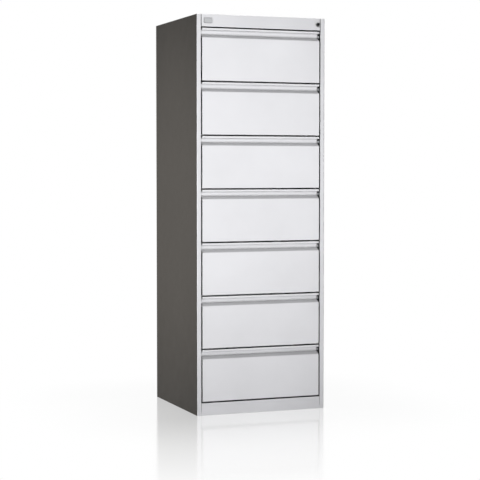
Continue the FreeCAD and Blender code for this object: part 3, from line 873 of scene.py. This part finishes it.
@dataclass
class FoldedFascia:
    """The rail above the top drawer, with its ends and its foot folded back.

    Its rounded ends leave the narrow upright joints beside the posts that the photograph shows.
    """

    folder: SheetFolder
    finish: Finish
    bends: Bends = Bends()
    end_return: float = 8.0 * MM
    end_bend: float = 2.6 * MM
    joint: float = 0.6 * MM
    foot_return: float = 8.0 * MM
    lock_bore: float = 6.55 * MM
    drill_length: float = 4.0 * MM
    drill_sides: int = 64

    def build(self) -> Piece:
        """Folds the fascia and bores it for the lock.

        Returns:
            The new piece.
        """
        low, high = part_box("top_fascia")
        folded = self.folder.fold("folded_fascia", self._sheets(low, high), self.finish)
        piece = join_to_scene("folded_fascia", self._bored(folded, low.y))
        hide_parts("top_fascia")
        return piece

    def _bored(self, folded: Mesh, front: float) -> Mesh:
        """Cuts the round hole that the lock's barrel passes through.

        Args:
            folded: The fascia's mesh.
            front: Where its face is.

        Returns:
            The mesh with its hole.
        """
        low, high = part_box("lock_housing")
        middle = (low + high) / 2
        place = Matrix.Translation((middle.x, front, middle.z)) @ Matrix.Rotation(math.pi / 2, 4, "X")
        drill = bmesh.new()
        bmesh.ops.create_cone(drill, cap_ends=True, segments=self.drill_sides, radius1=self.lock_bore,
                              radius2=self.lock_bore, depth=self.drill_length, matrix=place)
        cutter = join_to_scene("drill", mesh_from("drill", drill))
        holder = join_to_scene("holder", folded)
        modifier = holder.modifiers.new("bore", "BOOLEAN")
        modifier.operation = "DIFFERENCE"
        modifier.solver = "EXACT"
        modifier.object = cutter
        bored = plain_mesh(holder)
        bpy.data.objects.remove(cutter)
        return bored

    def _sheets(self, low: Vector, high: Vector) -> list[Sheet]:
        """The face with its two folded ends, and the leg under it, turned up at its back.

        Args:
            low: Lowest corner of the rail.
            high: Highest corner.

        Returns:
            The face, with its corners seen from above, and the leg, seen from the end.
        """
        bends = self.bends
        inner = self.end_bend - bends.sheet
        left, right = low.x + self.joint, high.x - self.joint
        front, back = low.y, low.y + self.end_return
        face = [(left, back, bends.cut), (left, front, self.end_bend), (right, front, self.end_bend),
                (right, back, bends.cut), (right - bends.sheet, back, bends.cut),
                (right - bends.sheet, front + bends.sheet, inner),
                (left + bends.sheet, front + bends.sheet, inner), (left + bends.sheet, back, bends.cut)]
        root, top, edge = front + bends.sheet / 2, low.z + bends.sheet, low.z + self.foot_return
        leg = [(root, low.z, bends.cut), (high.y, low.z, bends.outer), (high.y, edge, bends.cut),
               (high.y - bends.sheet, edge, bends.cut), (high.y - bends.sheet, top, bends.inner),
               (root, top, bends.cut)]
        return [Sheet(face, high.z - low.z, self.folder.upright, (0.0, 0.0, low.z)),
                Sheet(leg, high.x - low.x, self.folder.across, (low.x, 0.0, 0.0))]


@dataclass
class Carcass:
    """Shell, front frame and uprights: the parts that stand still."""

    finishes: Finishes
    fascia: FoldedFascia
    slots: dict[Slot, tuple[str, ...]] = field(default_factory=lambda: {
        Slot.SHELL: ("side_panel_left", "side_panel_right", "back_panel", "top_panel", "base_panel"),
        Slot.ZINC: ("upright_front_left", "upright_front_right", "upright_rear_left", "upright_rear_right",
                    "runner_outer_left", "runner_outer_right", "lock_bar_guides")})
    framed: tuple[str, ...] = ("front_post_left", "front_post_right", "top_fascia", "plinth_rail")

    def build(self) -> None:
        """Dresses the carcass and folds its fascia."""
        self.finishes.dress_slots(self.slots)
        self.finishes.dress(self.framed, self.finishes.frame_coat)
        piece = self.fascia.build()
        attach(piece, "root")
        LOG.info("carcass dressed, %s", piece.name)


@dataclass
class Drawer:
    """One drawer with its front, tray, divider and the runners that carry it."""

    number: int
    finishes: Finishes
    fronts: FoldedFronts
    rivets: DomedHeads
    rivet_count: int = 4
    rivet_inset: float = 40 * MM
    tray_sheet: float = 1.0 * MM
    slots: dict[Slot, tuple[str, ...]] = field(default_factory=lambda: {
        Slot.FRONT: ("front",), Slot.TRAY: ("tray", "divider"), Slot.ZINC: ("runner_inner", "runner_middle")})

    def build(self) -> None:
        """Dresses the drawer, folds its front and adds the rivets that hold it to its runners."""
        stem = f"drawer_{self.number}_"
        self.finishes.dress_slots(self.slots, stem)
        front = self.fronts.place(stem + "folded_front", stem + "front")
        rivets = self._runner_rivets(stem)
        for piece, slot in ((front, Slot.FRONT), (rivets, Slot.ZINC)):
            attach(piece, f"drawer_{self.number}")
        LOG.info("drawer %d: %s, %s", self.number, front.name, rivets.name)

    def _runner_rivets(self, stem: str) -> Piece:
        """Rivet heads inside the tray's side walls, at the height of the runners.

        Args:
            stem: The start of this drawer's node names.

        Returns:
            The piece.
        """
        low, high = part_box(stem + "runner_inner")
        level = (low.z + high.z) / 2
        tray_low, tray_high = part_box(stem + "tray")
        inside = min(-tray_low.x, tray_high.x) - self.tray_sheet
        step = (high.y - low.y - 2 * self.rivet_inset) / (self.rivet_count - 1)
        places = [low.y + self.rivet_inset + index * step for index in range(self.rivet_count)]
        rows = [([(side * inside, place, level) for place in places], Euler((0, -side * math.pi / 2, 0)))
                for side in (-1, 1)]
        return self.rivets.place(stem + "runner_rivets", rows, self.finishes.materials[Slot.ZINC])


@dataclass
class Lock:
    """Barrel, plug, cam, bar and nut of the key lock."""

    finishes: Finishes
    bezel_radius: float = 7.5 * MM
    bezel_depth: float = 2.0 * MM
    barrel_radius: float = 6.5 * MM
    bore_radius: float = 5.25 * MM
    bevel_width: float = 1.3 * MM
    bevel_depth: float = 1.1 * MM
    rim: float = 0.25 * MM
    steps: int = 64
    sharp_angle: float = 25.0
    slots: dict[Slot, tuple[str, ...]] = field(default_factory=lambda: {
        Slot.LOCK: ("lock_housing", "lock_nut"), Slot.CORE: ("lock_plug",),
        Slot.ZINC: ("lock_cam", "lock_bar", "lock_bar_head", "lock_bar_hooks")})

    def build(self) -> None:
        """Dresses the lock's pieces and turns its bezel."""
        self.finishes.dress_slots(self.slots)
        piece = self._bezel()
        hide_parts("lock_housing")
        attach(piece, "root")
        LOG.info("lock dressed, %s", piece.name)

    def _bezel(self) -> Piece:
        """The barrel with its bevelled bezel, turned from one profile.

        Returns:
            The new piece.
        """
        low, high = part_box("lock_housing")
        middle = (low + high) / 2
        front, back = low.y, high.y
        seat = front + self.bezel_depth
        outer, bore = self.bezel_radius, self.bore_radius
        profile = [(bore, back), (self.barrel_radius, back), (self.barrel_radius, seat),
                   (outer - self.rim, seat), (outer, seat - self.rim), (outer, front + self.bevel_depth),
                   (outer - self.bevel_width, front), (bore + self.rim, front), (bore, front + self.rim)]
        shape = bmesh.new()
        rings = []
        for step in range(self.steps):
            turn = math.tau * step / self.steps
            rings.append([shape.verts.new((middle.x + radius * math.cos(turn), place,
                                           middle.z + radius * math.sin(turn)))
                          for radius, place in profile])
        for ring, following in zip(rings, rings[1:] + rings[:1]):
            for index in range(len(profile)):
                shape.faces.new((ring[index - 1], ring[index], following[index], following[index - 1]))
        mesh = mesh_from("turned_bezel", shape)
        dress_mesh(mesh, self.finishes.materials[Slot.LOCK], self.sharp_angle)
        return join_to_scene("turned_bezel", mesh)


@dataclass
class BlankPlate:
    """Small plain plate on the fascia."""

    finishes: Finishes

    def build(self) -> None:
        """Dresses the plate."""
        self.finishes.dress_slots({Slot.PLATE: ("blank_plate",)})
        LOG.info("plate dressed")


@dataclass(frozen=True)
class SoftLamp:
    """One far lamp behind a diffuser, with a beam in degrees that fades towards its rim."""

    name: str
    place: Point
    target: Point
    power: float
    beam: float
    size: float = 0.5
    fade: float = 1.0


@dataclass
class Studio:
    """Plain pale floor, soft lamps and a white surround.

    Each span says where the surround changes: by how far a direction points to +X for the left, +Y for the
    front, +Z for the dim and overhead spans, and +X and +Y together for what is behind.
    """

    floor_half: float = 14.0
    floor_colour: str = "#f4f4f4"
    mirror: float = 0.42
    mirror_reach: float = 1.25
    mirror_roughness: float = 0.11
    shade: float = 0.09
    shade_reach: float = 0.6
    overhead: float = 0.12
    behind: float = 1.1
    dim_left: float = 0.15
    dim_front: float = 0.30
    left_span: Span = (-0.30, 0.20)
    front_span: Span = (-0.60, -0.20)
    dim_span: Span = (0.14, 0.24)
    overhead_span: Span = (0.15, 0.45)
    behind_span: Span = (0.6, 1.2)
    lamps: tuple[SoftLamp, ...] = (
        SoftLamp("near_beam", (-0.70, -3.90, 0.97), (-0.15, -0.22, 0.95), 366.0, 42.5),
        SoftLamp("front_beam", (-0.30, -4.80, 0.95), (-0.12, -0.22, 0.94), 194.0, 32.5),
        SoftLamp("high_beam", (-0.60, -4.50, 2.20), (-0.25, -0.22, 0.86), 178.0, 30.0),
        SoftLamp("side_beam", (-4.20, 0.05, 0.70), (-0.23, 0.05, 0.70), 825.0, 27.0),
    )

    def build(self) -> None:
        """Builds the world, the floor and the lamps."""
        self._world()
        self._floor()
        for lamp in self.lamps:
            self._hang(lamp)
        LOG.info("studio built")

    def _world(self) -> None:
        """White to the camera, with light from overhead and behind.

        In reflections it is white too, but dimmer in front and at the left, near the floor's level.
        """
        world = bpy.data.worlds.new("surround")
        world.use_nodes = True
        bpy.context.scene.world = world
        tree = world.node_tree
        ray = add_node(tree, "ShaderNodeLightPath").outputs
        facing = add_node(tree, "ShaderNodeTexCoord").outputs["Generated"]
        axes = add_node(tree, "ShaderNodeSeparateXYZ", {0: facing}).outputs
        rearward = add_node(tree, "ShaderNodeMath", {0: axes["X"], 1: axes["Y"]}, operation="ADD")
        left, front, above, back = (
            add_node(tree, "ShaderNodeMapRange",
                     {"Value": axis, "From Min": span[0], "From Max": span[1], "To Min": low,
                      "To Max": high}, interpolation_type="SMOOTHSTEP").outputs["Result"]
            for axis, span, low, high in ((axes["X"], self.left_span, self.dim_left, 1.0),
                                          (axes["Y"], self.front_span, self.dim_front, 1.0),
                                          (axes["Z"], self.overhead_span, 0.0, self.overhead),
                                          (rearward.outputs[0], self.behind_span, 0.0, self.behind)))
        level = add_node(tree, "ShaderNodeMath", {0: left, 1: front}, operation="MULTIPLY")
        high = add_node(tree, "ShaderNodeMapRange",
                        {"Value": axes["Z"], "From Min": self.dim_span[0], "From Max": self.dim_span[1]})
        sweep = add_node(tree, "ShaderNodeMix",
                         {"Factor": high.outputs["Result"], NUMBER_A: level.outputs[0], NUMBER_B: 1.0},
                         data_type="FLOAT")
        lit = add_node(tree, "ShaderNodeMath", {0: above, 1: back}, operation="MAXIMUM")
        light = add_node(tree, "ShaderNodeMix",
                         {"Factor": ray["Is Glossy Ray"], NUMBER_A: lit.outputs[0],
                          NUMBER_B: sweep.outputs[NUMBER_MIX]}, data_type="FLOAT")
        seen = add_node(tree, "ShaderNodeMath", {0: ray["Is Camera Ray"], 1: ray["Is Transmission Ray"]},
                        operation="MAXIMUM")
        strength = add_node(tree, "ShaderNodeMix",
                            {"Factor": seen.outputs[0], NUMBER_A: light.outputs[NUMBER_MIX], NUMBER_B: 1.0},
                            data_type="FLOAT")
        feed(tree.nodes["Background"], {"Color": WHITE, "Strength": strength.outputs[NUMBER_MIX]})

    def _floor(self) -> None:
        """White floor with the cabinet's shadow and, close to its foot, its mirror image."""
        shape = bmesh.new()
        bmesh.ops.create_grid(shape, x_segments=1, y_segments=1, size=self.floor_half)
        floor = join_to_scene("floor", mesh_from("floor", shape))
        material = bpy.data.materials.new("pale_polished_floor")
        material.use_nodes = True
        tree = material.node_tree
        tree.nodes.clear()
        place = add_node(tree, "ShaderNodeNewGeometry").outputs["Position"]
        half = (Vector(CAD_BOX[1]) - Vector(CAD_BOX[0])) / 2
        folded = add_node(tree, "ShaderNodeVectorMath", {0: place}, operation="ABSOLUTE")
        outside = add_node(tree, "ShaderNodeVectorMath",
                           {0: folded.outputs[0], 1: (half.x, half.y, 0.0)}, operation="SUBTRACT")
        beyond = add_node(tree, "ShaderNodeVectorMath",
                          {0: outside.outputs[0], 1: (0.0, 0.0, 0.0)}, operation="MAXIMUM")
        away = add_node(tree, "ShaderNodeVectorMath", {0: beyond.outputs[0]}, operation="LENGTH")
        reach = away.outputs["Value"]
        image = add_node(tree, "ShaderNodeMapRange",
                         {"Value": reach, "From Max": self.mirror_reach, "To Min": self.mirror,
                          "To Max": 0.0})
        shaded = add_node(tree, "ShaderNodeMapRange",
                          {"Value": reach, "From Max": self.shade_reach, "To Min": 1 - self.shade,
                           "To Max": 1.0}, interpolation_type="SMOOTHSTEP")
        camera_ray = add_node(tree, "ShaderNodeLightPath").outputs["Is Camera Ray"]
        seen = add_node(tree, "ShaderNodeMath", {0: camera_ray, 1: shaded.outputs["Result"]},
                        operation="MULTIPLY")
        lit = add_node(tree, "ShaderNodeBsdfDiffuse", {"Color": linear(self.floor_colour)})
        white = add_node(tree, "ShaderNodeEmission", {"Color": WHITE, "Strength": 1.0})
        ground = add_node(tree, "ShaderNodeMixShader",
                          {0: seen.outputs[0], 1: lit.outputs[0], 2: white.outputs[0]})
        gloss = add_node(tree, "ShaderNodeBsdfGlossy", {"Color": WHITE, "Roughness": self.mirror_roughness})
        whole = add_node(tree, "ShaderNodeMixShader",
                         {0: image.outputs["Result"], 1: ground.outputs[0], 2: gloss.outputs[0]})
        add_node(tree, "ShaderNodeOutputMaterial", {"Surface": whole.outputs[0]})
        floor.data.materials.append(material)

    def _hang(self, lamp: SoftLamp) -> None:
        """Adds one lamp, out of the camera's sight.

        Args:
            lamp: Its place, size, power and beam.
        """
        light = bpy.data.lights.new(lamp.name, "SPOT")
        light.energy = lamp.power
        light.shadow_soft_size = lamp.size / 2
        light.spot_size = math.radians(lamp.beam)
        light.spot_blend = lamp.fade
        holder = bpy.data.objects.new(lamp.name, light)
        holder.location = lamp.place
        aim = Vector(lamp.target) - Vector(lamp.place)
        holder.rotation_euler = aim.to_track_quat("-Z", "Y").to_euler()
        holder.visible_camera = False
        bpy.context.scene.collection.objects.link(holder)


@dataclass
class Viewpoint:
    """Camera placed where the photograph was taken from, by the cabinet's corners and drawer gaps."""

    place: Point = (-1.836, -4.820, 0.837)
    yaw: float = 20.92
    pitch: float = -2.81
    lens: float = 108.25
    sensor: float = 36.0
    far_limit: float = 100.0

    def build(self) -> None:
        """Adds the camera and makes it the scene's own."""
        camera = bpy.data.cameras.new("viewpoint")
        camera.lens = self.lens
        camera.sensor_width = self.sensor
        camera.clip_end = self.far_limit
        holder = bpy.data.objects.new("viewpoint", camera)
        holder.location = self.place
        holder.rotation_euler = (math.radians(90 + self.pitch), 0.0, -math.radians(self.yaw))
        bpy.context.scene.collection.objects.link(holder)
        bpy.context.scene.camera = holder
        LOG.info("camera placed")


def main() -> None:
    """Builds every part of the scene in order."""
    logging.basicConfig(level=logging.INFO, format="%(name)s: %(message)s")
    bpy.context.scene.view_settings.view_transform = "Standard"
    finishes = Finishes()
    rivets = DomedHeads()
    folder = SheetFolder()
    fronts = FoldedFronts(folder, finishes.materials[Slot.FRONT])
    Carcass(finishes, FoldedFascia(folder, finishes.frame_coat)).build()
    drawers = [name for name in frame["bodies"] if name.startswith("drawer_")]
    for number in range(1, len(drawers) + 1):
        Drawer(number, finishes, fronts, rivets).build()
    Lock(finishes).build()
    BlankPlate(finishes).build()
    Studio().build()
    Viewpoint().build()


if __name__ == "__main__":
    main()
